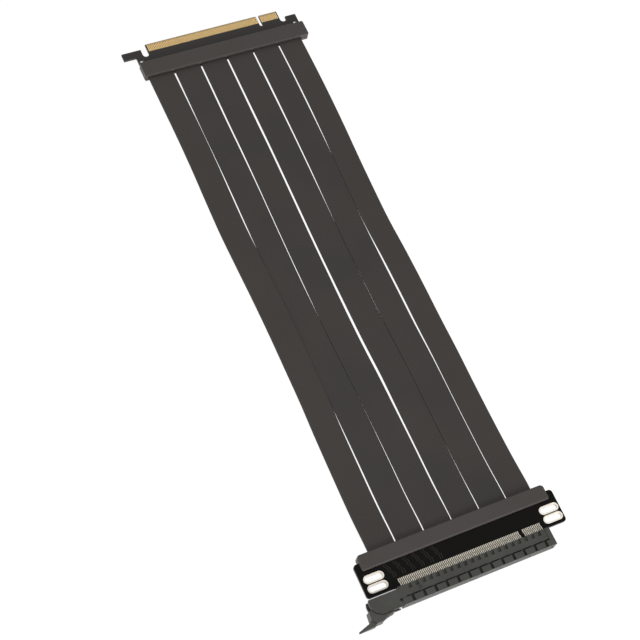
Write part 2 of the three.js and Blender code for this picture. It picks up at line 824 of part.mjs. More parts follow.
const finishes = {
  cover: { color: 0x47423e, roughness: 0.55, metalness: 0 },
  board: { color: 0x14130f, roughness: 0.2, metalness: 0 },
  mould: { color: 0x2c2b2a, roughness: 0.7, metalness: 0 },
  housing: { color: 0x555550, roughness: 0.5, metalness: 0 },
  latch: { color: 0x3c3937, roughness: 0.5, metalness: 0 },
  ribbon: { color: 0x3d3a37, roughness: 0.6, metalness: 0 },
};

function named(name, geometry, finish) {
  const mesh = new THREE.Mesh(geometry, new THREE.MeshStandardMaterial(finishes[finish]));
  mesh.name = name;
  return mesh;
}

function endPieces(end, board, boardSolid) {
  return [
    named(`${end.name}_board`, geometryOf(boardSolid), 'board'),
    named(`${end.name}_inner_mould`, geometryOf(innerMould(end, board)), 'mould'),
    named(`${end.name}_cover_top`, geometryOf(coverHalf(end, board, 1)), 'cover'),
    named(`${end.name}_cover_bottom`, geometryOf(coverHalf(end, board, -1)), 'cover'),
  ];
}

const plugBoardInside = {
  left: Math.max(tabLeft - tabGapWidth - hookNeckWidth, plugEnd.left) + boardStep,
  right: Math.min(tabRight + tabGapWidth + lugWidth, plugEnd.right) - boardStep,
};
const socketBoardInside = {
  left: earBoardOffset - earBoardWidth / 2,
  right: earBoardOffset + earBoardWidth / 2,
};

const riserCable = new THREE.Group();
riserCable.add(...endPieces(plugEnd, plugBoardInside, plugBoard()));
riserCable.add(...endPieces(socketEnd, socketBoardInside, socketBoard()));
riserCable.add(named('socket_housing', geometryOf(socketHousing()), 'housing'));
riserCable.add(named('socket_latch', geometryOf(latch()), 'latch'));
ribbons.forEach((ribbon, i) => {
  riserCable.add(named(`ribbon_${i + 1}`, ribbonGeometry(ribbon), 'ribbon'));
});

// The origin is the middle of the footprint, on the table.
const extent = new THREE.Box3().setFromObject(riserCable);
const middle = extent.getCenter(new THREE.Vector3());
riserCable.position.set(-middle.x, -middle.y, -extent.min.z);

export default riserCable;
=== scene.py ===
"""Looks of a flat riser cable: card edge board, six jacketed ribbons, socket with latch.

Sizes are in millimetres in the dataclasses and become metres where a mesh is made. The
drawing frame has X = 0 at the middle of the card edge, Y = 0 at the cable side of the
socket's solder tails and Z = 0 on the table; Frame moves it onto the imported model.
"""

import logging
import math
from dataclasses import dataclass
from enum import Enum

import bmesh
import bpy
from mathutils import Matrix, Vector


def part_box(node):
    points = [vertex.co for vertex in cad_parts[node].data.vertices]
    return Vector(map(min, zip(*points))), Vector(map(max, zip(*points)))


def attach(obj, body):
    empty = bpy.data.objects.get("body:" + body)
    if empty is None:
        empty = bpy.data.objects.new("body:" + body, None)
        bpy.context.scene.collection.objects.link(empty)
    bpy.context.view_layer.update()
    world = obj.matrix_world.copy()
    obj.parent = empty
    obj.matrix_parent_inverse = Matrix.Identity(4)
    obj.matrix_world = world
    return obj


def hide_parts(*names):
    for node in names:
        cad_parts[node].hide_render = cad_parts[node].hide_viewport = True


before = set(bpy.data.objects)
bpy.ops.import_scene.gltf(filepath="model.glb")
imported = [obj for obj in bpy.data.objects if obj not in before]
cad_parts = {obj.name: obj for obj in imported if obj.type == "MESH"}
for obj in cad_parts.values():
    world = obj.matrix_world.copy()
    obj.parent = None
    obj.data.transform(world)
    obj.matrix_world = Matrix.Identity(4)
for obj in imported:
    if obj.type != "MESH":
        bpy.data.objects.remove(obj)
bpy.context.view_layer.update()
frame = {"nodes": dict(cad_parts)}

MM = 0.001
log = logging.getLogger("riser_cable")


class Body(Enum):
    """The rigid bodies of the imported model."""

    CABLE = "cable"
    LATCH = "latch"


class Side(Enum):
    """Which face of a board something lies on."""

    TOP = 1
    BOTTOM = -1


@dataclass(frozen=True)
class Frame:
    """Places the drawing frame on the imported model."""

    origin: Vector

    @classmethod
    def on_model(cls, card_tip_y: float = 352.3, housing_right_x: float = 44.5) -> "Frame":
        """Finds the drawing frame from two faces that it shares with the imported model.

        Args:
            card_tip_y: The card edge's tip in the drawing frame, in millimetres.
            housing_right_x: The socket housing's right end there, in millimetres.

        Returns:
            The placed frame, with its origin in millimetres.
        """
        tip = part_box("plug_board")[1].y / MM
        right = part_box("socket_housing")[1].x / MM
        return cls(Vector((right - housing_right_x, tip - card_tip_y, 0.0)))

    def point(self, x: float, y: float, z: float) -> Vector:
        """Turns a drawing point in millimetres into a row point in metres.

        Args:
            x: Millimetres towards the key end.
            y: Millimetres towards the card edge.
            z: Millimetres above the table.

        Returns:
            The point in the row frame, in metres.
        """
        return (Vector((x, y, z)) + self.origin) * MM


def linear(hex_colour: str, alpha: float = 1.0) -> tuple[float, float, float, float]:
    """Turns an sRGB hex colour into linear values.

    Args:
        hex_colour: Six hex digits, with or without a leading hash.
        alpha: The fourth value.

    Returns:
        Red, green, blue and alpha, linear.
    """
    digits = hex_colour.lstrip("#")
    channels = []
    for start in (0, 2, 4):
        value = int(digits[start:start + 2], 16) / 255
        channels.append(value / 12.92 if value <= 0.04045 else ((value + 0.055) / 1.055) ** 2.4)
    return channels[0], channels[1], channels[2], alpha


def add_node(tree: bpy.types.NodeTree, kind: str, settings: dict | None = None,
             sockets: dict | None = None) -> bpy.types.Node:
    """Adds one node with its settings, constants and links.

    Args:
        tree: The node tree.
        kind: The node's type, such as "ShaderNodeMix".
        settings: Properties of the node.
        sockets: Input name or number to a constant or to another node's output.

    Returns:
        The node.
    """
    node = tree.nodes.new(kind)
    for name, value in (settings or {}).items():
        setattr(node, name, value)
    for name, value in (sockets or {}).items():
        if isinstance(value, bpy.types.NodeSocket):
            tree.links.new(value, node.inputs[name])
        else:
            node.inputs[name].default_value = value
    return node


def blank_material(name: str) -> tuple[bpy.types.Material, bpy.types.NodeTree, bpy.types.Node]:
    """Makes a material that holds only a Principled shader.

    Args:
        name: The material's name.

    Returns:
        The material, its tree and the Principled node.
    """
    material = bpy.data.materials.new(name)
    material.use_nodes = True
    tree = material.node_tree
    return material, tree, tree.nodes["Principled BSDF"]


MIX_COLOUR = {"data_type": "RGBA"}
MIX_FACTOR, MIX_A, MIX_B, MIX_RESULT = 0, 6, 7, 2


@dataclass(frozen=True)
class MouldedPlastic:
    """Injection-moulded plastic off a spark-eroded tool.

    The tool leaves a fine grain that breaks up the shine, so the colour is nearly even
    and the light rolls off the edges softly; long slow changes of tone come from flow.
    """

    name: str
    colour: str
    cast: str
    cast_mm: float = 38.0
    grain_mm: float = 0.35
    grain_depth_mm: float = 0.012
    roughness: float = 0.46
    roughness_spread: float = 0.08
    ior: float = 1.5
    specular: float = 0.5

    def build(self) -> bpy.types.Material:
        """Returns the material."""
        material, tree, shader = blank_material(self.name)
        place = add_node(tree, "ShaderNodeTexCoord")
        where = place.outputs["Object"]
        flow = add_node(tree, "ShaderNodeTexNoise", None, {
            "Vector": where, "Scale": 1 / (self.cast_mm * MM), "Detail": 3.0, "Roughness": 0.55,
        })
        tone = add_node(tree, "ShaderNodeMapRange", None, {
            "Value": flow.outputs["Fac"], "From Min": 0.35, "From Max": 0.65,
        })
        colour = add_node(tree, "ShaderNodeMix", MIX_COLOUR, {
            MIX_FACTOR: tone.outputs["Result"],
            MIX_A: linear(self.colour), MIX_B: linear(self.cast),
        })
        grain = add_node(tree, "ShaderNodeTexNoise", None, {
            "Vector": where, "Scale": 1 / (self.grain_mm * MM), "Detail": 2.0, "Roughness": 0.6,
        })
        gloss = add_node(tree, "ShaderNodeMapRange", None, {
            "Value": grain.outputs["Fac"], "From Min": 0.3, "From Max": 0.7,
            "To Min": self.roughness - self.roughness_spread,
            "To Max": self.roughness + self.roughness_spread,
        })
        bump = add_node(tree, "ShaderNodeBump", None, {
            "Height": grain.outputs["Fac"], "Distance": self.grain_depth_mm * MM, "Strength": 1.0,
        })
        shader.inputs["IOR"].default_value = self.ior
        shader.inputs["Specular IOR Level"].default_value = self.specular
        tree.links.new(colour.outputs[MIX_RESULT], shader.inputs["Base Color"])
        tree.links.new(gloss.outputs["Result"], shader.inputs["Roughness"])
        tree.links.new(bump.outputs["Normal"], shader.inputs["Normal"])
        return material


@dataclass(frozen=True)
class RibbonJacket:
    """Extruded PVC jacket over shielded pairs of wires.

    The wires print through as shallow ridges, and drawing it through the die leaves fine
    lines along its length, so it looks satin with a faint grain that runs with the cable.
    """

    name: str
    colour: str
    warm: str
    # This ribbon's share of the lighter brown is painted light: the outer ribbons are painted lighter
    # and browner where their roll catches the lamps.
    painted_light_share: float
    width_mm: float
    ridges: int
    ridge_depth_mm: float = 0.02
    line_mm: float = 0.45
    line_length_mm: float = 22.0
    patch_mm: float = 46.0
    roughness: float = 0.5

    def build(self) -> bpy.types.Material:
        """Returns the material; it reads U across the ribbon and V along it, in metres."""
        material, tree, shader = blank_material(self.name)
        place = add_node(tree, "ShaderNodeTexCoord")
        patches = add_node(tree, "ShaderNodeTexNoise", None, {
            "Vector": place.outputs["Object"], "Scale": 1 / (self.patch_mm * MM),
            "Detail": 2.0, "Roughness": 0.5,
        })
        # Random patches of the lighter brown, centred on the ribbon's share of painted light.
        share = add_node(tree, "ShaderNodeMapRange", None, {
            "Value": patches.outputs["Fac"], "From Min": 0.38, "From Max": 0.62,
            "To Min": max(0.0, self.painted_light_share - 0.35), "To Max": min(1.0, self.painted_light_share + 0.35),
        })
        colour = add_node(tree, "ShaderNodeMix", MIX_COLOUR, {
            MIX_FACTOR: share.outputs["Result"],
            MIX_A: linear(self.colour), MIX_B: linear(self.warm),
        })
        along = add_node(tree, "ShaderNodeMapping", None, {
            "Vector": place.outputs["UV"],
            "Scale": (1 / (self.line_mm * MM), 1 / (self.line_length_mm * MM), 1.0),
        })
        lines = add_node(tree, "ShaderNodeTexNoise", {"noise_dimensions": "2D"}, {
            "Vector": along.outputs["Vector"], "Scale": 1.0, "Detail": 2.0,
        })
        split = add_node(tree, "ShaderNodeSeparateXYZ", None, {"Vector": place.outputs["UV"]})
        phase = add_node(tree, "ShaderNodeMath", {"operation": "MULTIPLY"}, {
            0: split.outputs["X"], 1: self.ridges * 2 * math.pi / (self.width_mm * MM),
        })
        ridge = add_node(tree, "ShaderNodeMath", {"operation": "COSINE"}, {0: phase.outputs[0]})
        line_height = add_node(tree, "ShaderNodeMath", {"operation": "MULTIPLY"}, {
            0: lines.outputs["Fac"], 1: 0.8,
        })
        height = add_node(tree, "ShaderNodeMath", {"operation": "ADD"}, {
            0: ridge.outputs[0], 1: line_height.outputs[0],
        })
        bump = add_node(tree, "ShaderNodeBump", None, {
            "Height": height.outputs[0], "Distance": self.ridge_depth_mm * MM, "Strength": 1.0,
        })
        gloss = add_node(tree, "ShaderNodeMapRange", None, {
            "Value": lines.outputs["Fac"], "From Min": 0.3, "From Max": 0.7,
            "To Min": self.roughness - 0.05, "To Max": self.roughness + 0.07,
        })
        shader.inputs["IOR"].default_value = 1.5
        shader.inputs["Specular IOR Level"].default_value = 0.4
        tree.links.new(colour.outputs[MIX_RESULT], shader.inputs["Base Color"])
        tree.links.new(gloss.outputs["Result"], shader.inputs["Roughness"])
        tree.links.new(bump.outputs["Normal"], shader.inputs["Normal"])
        return material


@dataclass(frozen=True)
class SolderMask:
    """Black epoxy solder mask, screened on a glass-epoxy board and cured.

    It is a poured gloss film, near black, and it takes up a slight ripple from the glass
    weave under it, which only shows where something bright is mirrored in it.
    """

    name: str = "black_solder_mask"
    colour: str = "#0a0908"
    speckle: str = "#100e0c"
    weave_mm: float = 0.9
    weave_depth_mm: float = 0.0012
    roughness: float = 0.16
    specular: float = 0.14

    def build(self) -> bpy.types.Material:
        """Returns the material."""
        material, tree, shader = blank_material(self.name)
        place = add_node(tree, "ShaderNodeTexCoord")
        weave = add_node(tree, "ShaderNodeTexNoise", None, {
            "Vector": place.outputs["Object"], "Scale": 1 / (self.weave_mm * MM), "Detail": 1.0,
        })
        tone = add_node(tree, "ShaderNodeMix", MIX_COLOUR, {
            MIX_FACTOR: weave.outputs["Fac"],
            MIX_A: linear(self.colour), MIX_B: linear(self.speckle),
        })
        bump = add_node(tree, "ShaderNodeBump", None, {
            "Height": weave.outputs["Fac"], "Distance": self.weave_depth_mm * MM, "Strength": 1.0,
        })
        shader.inputs["Roughness"].default_value = self.roughness
        shader.inputs["IOR"].default_value = 1.55
        shader.inputs["Specular IOR Level"].default_value = self.specular
        tree.links.new(tone.outputs[MIX_RESULT], shader.inputs["Base Color"])
        tree.links.new(bump.outputs["Normal"], shader.inputs["Normal"])
        return material


@dataclass(frozen=True)
class PlatedMetal:
    """Electroplated contact metal: hard gold over nickel, or matt tin.

    Plating follows every mark in the copper, so it is bright but a little cloudy, with a fine
    speckle; the colour is the metal's own, except on the slot rims, whose near-white colour is a
    painted reflection.
    """

    name: str
    colour: str
    shade: str
    roughness: float
    metallic: float = 1.0
    speckle_mm: float = 0.25

    def build(self) -> bpy.types.Material:
        """Returns the material."""
        material, tree, shader = blank_material(self.name)
        place = add_node(tree, "ShaderNodeTexCoord")
        speckle = add_node(tree, "ShaderNodeTexNoise", None, {
            "Vector": place.outputs["Object"], "Scale": 1 / (self.speckle_mm * MM), "Detail": 2.0,
        })
        tone = add_node(tree, "ShaderNodeMix", MIX_COLOUR, {
            MIX_FACTOR: speckle.outputs["Fac"],
            MIX_A: linear(self.shade), MIX_B: linear(self.colour),
        })
        gloss = add_node(tree, "ShaderNodeMapRange", None, {
            "Value": speckle.outputs["Fac"], "From Min": 0.3, "From Max": 0.7,
            "To Min": self.roughness - 0.06, "To Max": self.roughness + 0.06,
        })
        shader.inputs["Metallic"].default_value = self.metallic
        tree.links.new(tone.outputs[MIX_RESULT], shader.inputs["Base Color"])
        tree.links.new(gloss.outputs["Result"], shader.inputs["Roughness"])
        return material


COVER_NYLON = MouldedPlastic("cover_moulded_nylon", "#443f3b", "#484241")
SOCKET_PBT = MouldedPlastic(
    "socket_glass_filled_pbt", "#474743", "#403f3b", cast_mm=9.0, grain_depth_mm=0.018,
)
LATCH_NYLON = MouldedPlastic("latch_moulded_nylon", "#4a4743", "#45423e", cast_mm=12.0)
POTTING = MouldedPlastic("wire_potting_hot_melt", "#2f2e2c", "#2a2928", roughness=0.6)
FINGER_GOLD = PlatedMetal("hard_gold_plating", "#ffe09c", "#ffce84", 0.36, metallic=0.0)
# The flash gold slot rims are painted near white with metallic off: a painted reflection of the white
# surroundings, not the gold's own colour.
RIM_PAINTED_REFLECTION = PlatedMetal("flash_gold_painted_reflection", "#fffaf0", "#fff4e2", 0.45, metallic=0.0)
TAIL_TIN = PlatedMetal("matt_tin_plating", "#fbf4e4", "#e6dfcd", 0.36, metallic=0.2)
TRACE_MASK = MouldedPlastic("mask_over_copper", "#3a3733", "#302d2a", roughness=0.3)
SATIN_MASK = SolderMask("satin_solder_mask", "#2e2c2b", "#34312e", roughness=0.36, specular=0.4)


@dataclass(frozen=True)
class Ribbon:
    """One ribbon's width and where it enters the two cover bars, in millimetres, and how much painted
    light its jacket takes.
    """

    width: float
    plug_x: float
    socket_x: float
    painted_light_share: float


@dataclass(frozen=True)
class Station:
    """How the six ribbons lie at one place along the cable, in millimetres.

    It holds the first ribbon's outer edge, the gap after each of the first five and the
    height of each underside. A gap below zero is where one ribbon rides over the next.
    """

    edge: float
    gaps: tuple[float, ...]
    lifts: tuple[float, ...]


JACKET_GREY = "#3a3735"
JACKET_PATCH_AND_LIT_BROWN = "#403a36"
# The lighter brown is partly random patches along each ribbon and partly painted light: the outer
# ribbons lean further to it, standing for the light their roll catches.
RIBBONS = (
    Ribbon(15.6, -41.2, -42.1, 0.85),
    Ribbon(15.9, -24.5, -25.7, 0.4),
    Ribbon(15.9, -7.7, -9.2, 0.3),
    Ribbon(16.0, 9.2, 7.2, 0.3),
    Ribbon(15.9, 26.0, 23.6, 0.4),
    Ribbon(14.8, 42.1, 39.4, 0.8),
)
STATIONS = (
    Station(-48.35, (0.65, 0.85, 1.1, 1.0, 0.75), (0.9, 0.8, 1.0, 0.8, 0.9, 0.9)),
    Station(-47.95, (0.25, 0.85, 1.2, 0.9, 0.75), (0.3, 0.2, 0.3, 0.25, 0.2, 0.2)),
    Station(-48.05, (0.35, 0.75, 1.1, 0.7, 0.45), (0.15, 0.15, 0.2, 0.15, 0.2, 0.15)),
    Station(-48.55, (0.65, 0.55, 1.0, 0.6, 0.05), (0.15, 0.2, 0.15, 0.3, 0.35, 0.15)),
    Station(-48.95, (0.65, 0.45, 1.0, 0.3, 0.05), (0.4, 0.15, 0.15, 0.4, 0.3, 0.2)),
    Station(-48.85, (0.15, 0.35, 1.1, 0.05, 0.15), (1.3, 0.15, 0.3, 0.25, 0.15, 0.4)),
    Station(-48.45, (-0.55, 0.35, 1.2, 0.05, 0.75), (1.6, 0.15, 0.35, 0.15, 0.2, 0.6)),
    Station(-48.25, (-0.65, 0.05, 1.3, 0.05, 1.05), (1.7, 0.15, 0.2, 0.2, 0.4, 0.4)),
    Station(-48.35, (-0.55, 0.05, 1.3, 0.05, 0.95), (1.6, 0.15, 0.15, 0.35, 0.3, 0.2)),
    Station(-48.45, (0.05, 0.05, 1.3, 0.05, 0.55), (1.3, 0.2, 0.2, 0.3, 0.15, 0.15)),
    Station(-48.85, (0.55, 0.05, 1.1, 0.05, 0.35), (0.5, 0.2, 0.4, 0.2, 0.2, 0.2)),
    Station(-49.15, (0.75, 0.25, 0.9, 0.05, 0.35), (0.3, 0.3, 0.5, 0.3, 0.3, 0.3)),
    Station(-49.65, (0.75, 0.45, 0.8, 0.2, 0.35), (1.2, 1.3, 1.3, 1.2, 1.3, 1.4)),
)


def mesh_object(name: str, vertices: list[Vector], faces: list[tuple[int, ...]], smooth: bool,
                material: bpy.types.Material) -> bpy.types.Object:
    """Makes an object from points in metres and faces, with its normals outward.

    Args:
        name: The piece's name.
        vertices: Points in the row frame.
        faces: Vertex numbers.
        smooth: Whether its faces shade smoothly.
        material: Its material.

    Returns:
        The object, linked to the scene.
    """
    mesh = bpy.data.meshes.new(name)
    mesh.from_pydata(vertices, [], faces)
    tidy = bmesh.new()
    tidy.from_mesh(mesh)
    bmesh.ops.recalc_face_normals(tidy, faces=tidy.faces)
    tidy.to_mesh(mesh)
    tidy.free()
    for polygon in mesh.polygons:
        polygon.use_smooth = smooth
    mesh.materials.append(material)
    piece = bpy.data.objects.new(name, mesh)
    bpy.context.scene.collection.objects.link(piece)
    return piece


def catmull_rom(points: list[Vector], steps: int) -> list[Vector]:
    """Follows points with a centripetal Catmull-Rom curve, as the solid model does.

    Args:
        points: The route's points.
        steps: Steps between each two points.

    Returns:
        Points along the curve.
    """
    ends = [points[0] * 2 - points[1], *points, points[-1] * 2 - points[-2]]
    line = []
    for i in range(1, len(ends) - 2):
        p0, p1, p2, p3 = ends[i - 1:i + 3]
        knots = [0.0]
        for a, b in ((p0, p1), (p1, p2), (p2, p3)):
            knots.append(knots[-1] + math.sqrt((b - a).length))
        for step in range(steps):
            t = knots[1] + (knots[2] - knots[1]) * step / steps
            a1 = p0.lerp(p1, (t - knots[0]) / (knots[1] - knots[0]))
            a2 = p1.lerp(p2, (t - knots[1]) / (knots[2] - knots[1]))
            a3 = p2.lerp(p3, (t - knots[2]) / (knots[3] - knots[2]))
            b1 = a1.lerp(a2, (t - knots[0]) / (knots[2] - knots[0]))
            b2 = a2.lerp(a3, (t - knots[1]) / (knots[3] - knots[1]))
            line.append(b1.lerp(b2, (t - knots[1]) / (knots[2] - knots[1])))
    line.append(points[-1].copy())
    return line


@dataclass
class RibbonSet:
    """The six flat ribbons, each a free flat cord from one cover bar to the other."""

    frame: Frame
    plug_bar_near: float = 329.3
    socket_bar_far: float = 18.2
    plug_mid: float = 2.8
    socket_mid: float = 3.75
    plug_reach: float = 4.6
    socket_reach: float = 2.9
    straight: float = 4.0
    thickness: float = 1.0
    edge_radius: float = 0.4
    crown: float = 0.06
    ridge_mm: float = 1.27
    section_steps: int = 16
    edge_steps: int = 5
    route_steps: int = 10

    @staticmethod
    def middle_at(station: Station, number: int) -> float:
        """Counts across from the first ribbon's outer edge.

        Args:
            station: The place along the cable.
            number: The ribbon, from 0 on the hook side.

        Returns:
            The ribbon's middle there, in millimetres.
        """
        x = station.edge
        for ribbon, gap in zip(RIBBONS[:number], station.gaps):
            x += ribbon.width + gap
        return x + RIBBONS[number].width / 2

    def route(self, number: int) -> list[Vector]:
        """Lists a ribbon's route, from inside one bar to inside the other.

        Args:
            number: The ribbon, from 0 on the hook side.

        Returns:
            Points in the row frame, in metres.
        """
        run = RIBBONS[number]
        near, far = self.plug_bar_near, self.socket_bar_far
        points = [
            (run.plug_x, near + self.plug_reach, self.plug_mid),
            (run.plug_x, near, self.plug_mid),
            (run.plug_x, near - self.straight, self.plug_mid),
        ]
        for i, station in enumerate(STATIONS, start=1):
            y = near + (far - near) * i / (len(STATIONS) + 1)
            z = station.lifts[number] + self.thickness / 2
            points.append((self.middle_at(station, number), y, z))
        points += [
            (run.socket_x, far + self.straight, self.socket_mid),
            (run.socket_x, far, self.socket_mid),
            (run.socket_x, far - self.socket_reach, self.socket_mid),
        ]
        return [self.frame.point(*point) for point in points]

    def section(self, width: float) -> list[tuple[float, float]]:
        """Draws a ribbon's section: rounded edges and a slight crown on both faces.

        Args:
            width: The ribbon's width in millimetres.

        Returns:
            Across and up, in millimetres, once round.
        """
        half, rise, r = width / 2, self.thickness / 2, self.edge_radius
        flat = half - r
        top = []
        for i in range(self.section_steps + 1):
            across = -flat + 2 * flat * i / self.section_steps
            top.append((across, rise - self.crown * (across / half) ** 2))
        corner = []
        for i in range(1, self.edge_steps):
            angle = math.pi / 2 - math.pi * i / self.edge_steps
            corner.append((flat + r * math.cos(angle), (rise - self.crown) * math.sin(angle)))
        right = [*top, *corner]
        left = [(-across, -up) for across, up in right]
        return [*right, *left]

    def build_ribbon(self, number: int) -> bpy.types.Object:
        """Builds, dresses and attaches one ribbon to the cable's body.

        Args:
            number: The ribbon, from 0 on the hook side.

        Returns:
            The ribbon.
        """
        run = RIBBONS[number]
        line = catmull_rom(self.route(number), self.route_steps)
        section = self.section(run.width)
        vertices = []
        for i, centre in enumerate(line):
            ahead = (line[min(i + 1, len(line) - 1)] - line[max(i - 1, 0)]).normalized()
            across = Vector((0, 0, 1)).cross(ahead).normalized() * -1
            up = across.cross(ahead).normalized()
            up = up if up.z > 0 else -up
            for u, v in section:
                vertices.append(centre + across * (u * MM) + up * (v * MM))
        sides = len(section)
        faces = []
        for i in range(len(line) - 1):
            for j in range(sides):
                a, b = i * sides + j, i * sides + (j + 1) % sides
                faces.append((a, b, b + sides, a + sides))
        faces.append(tuple(range(sides)))
        faces.append(tuple(range(len(vertices) - sides, len(vertices))))
        jacket = RibbonJacket(
            f"pvc_jacket_ribbon_{number + 1}", JACKET_GREY, JACKET_PATCH_AND_LIT_BROWN, run.painted_light_share, run.width,
            round(run.width / self.ridge_mm),
        ).build()
        ribbon = mesh_object(f"jacketed_ribbon_{number + 1}", vertices, faces, True, jacket)
        self.lay_out_uv(ribbon, line, section)
        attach(ribbon, Body.CABLE.value)
        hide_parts(f"ribbon_{number + 1}")
        return ribbon

    def lay_out_uv(self, ribbon: bpy.types.Object, line: list[Vector],
                   section: list[tuple[float, float]]) -> None:
        """Writes U across and V along the ribbon, both in metres.

        Args:
            ribbon: The ribbon.
            line: Its centreline.
            section: Its section.
        """
        sides = len(section)
        along = [0.0]
        for a, b in zip(line, line[1:]):
            along.append(along[-1] + (b - a).length)
        layer = ribbon.data.uv_layers.new(name="across_and_along")
        for loop in ribbon.data.loops:
            station, corner = divmod(loop.vertex_index, sides)
            layer.data[loop.index].uv = (section[corner][0] * MM, along[station])

    def build(self) -> None:
        """Builds the six ribbons."""
        for number in range(len(RIBBONS)):
            self.build_ribbon(number)
            log.info("ribbon %d of %d laid", number + 1, len(RIBBONS))


@dataclass
class CardEdgeEnd:
    """The card edge's gold fingers, laid over both faces of the imported board."""

    frame: Frame
    tip_y: float = 352.3
    tab_left: float = -42.6
    pitch: float = 1.0
    before_key: int = 71
    after_key: int = 11
    edge_to_contact: float = 1.1
    key_to_contact: float = 0.55
    key_width: float = 1.9
    finger_width: float = 0.7
    finger_length: float = 5.2
    finger_setback: float = 0.4
    finger_end_bevel: float = 0.12
    slope_start: float = 0.15
    board_mid: float = 2.8
    board_thickness: float = 1.6
    pad_height: float = 0.05
    plating: float = 0.012
    bevel_length: float = 1.2
    bevel_depth: float = 0.4

    def contact_xs(self) -> list[float]:
        """Returns the middle of each contact along the edge, in millimetres."""
        first = self.tab_left + self.edge_to_contact
        xs = [first + i * self.pitch for i in range(self.before_key)]
        start = xs[-1] + 2 * self.key_to_contact + self.key_width
        return [*xs, *(start + i * self.pitch for i in range(self.after_key))]

    def finger_height(self, y: float) -> float:
        """Returns how far above the board's middle the gold lies at a distance along it.

        Args:
            y: Millimetres in the drawing frame.

        Returns:
            Millimetres from the board's middle plane.
        """
        flat = self.board_thickness / 2 + self.pad_height
        start = self.tip_y - self.bevel_length
        if y <= start:
            return flat
        share = (y - start) / self.bevel_length
        rise = self.board_thickness / 2 + 2 * self.pad_height
        end = self.board_thickness / 2 - self.bevel_depth
        return min(flat, rise + (end - rise) * share)

    def build_fingers(self, side: Side, gold: bpy.types.Material) -> bpy.types.Object:
        """Lays a plating skin over each contact pad of one face.

        Args:
            side: Which face.
            gold: The plating.

        Returns:
            The fingers of that face, as one piece.
        """
        far = self.tip_y - self.finger_setback
        near = far - self.finger_length
        cut = self.finger_end_bevel
        half = self.finger_width / 2 + self.plating
        slope = self.tip_y - self.bevel_length + self.slope_start
        rows = [near - self.plating, near + cut, slope, far + self.plating]
        vertices, faces = [], []
        for x in self.contact_xs():
            base = len(vertices)
            for row, y in enumerate(rows):
                reach = half - cut if row == 0 else half
                top = self.finger_height(y) + self.plating
                foot = top - self.pad_height - self.plating
                for across, up in ((-reach, foot), (-reach, top), (reach, top), (reach, foot)):
                    z = self.board_mid + side.value * up
                    vertices.append(self.frame.point(x + across, y, z))
            for row in range(len(rows) - 1):
                for j in range(4):
                    a, b = base + row * 4 + j, base + row * 4 + (j + 1) % 4
                    faces.append((a, b, b + 4, a + 4))
            end = base + 4 * (len(rows) - 1)
            faces.append((base, base + 1, base + 2, base + 3))
            faces.append((end, end + 1, end + 2, end + 3))
        name = f"gold_fingers_{side.name.lower()}"
        fingers = mesh_object(name, vertices, faces, False, gold)
        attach(fingers, Body.CABLE.value)
        return fingers

    def build(self) -> None:
        """Builds the fingers of both faces."""
        gold = FINGER_GOLD.build()
        for side in Side:
            self.build_fingers(side, gold)
        log.info("card edge plated")


BOX_FACES = ((0, 2, 3, 1), (4, 5, 7, 6), (0, 1, 5, 4), (2, 6, 7, 3), (0, 4, 6, 2), (1, 3, 7, 5))


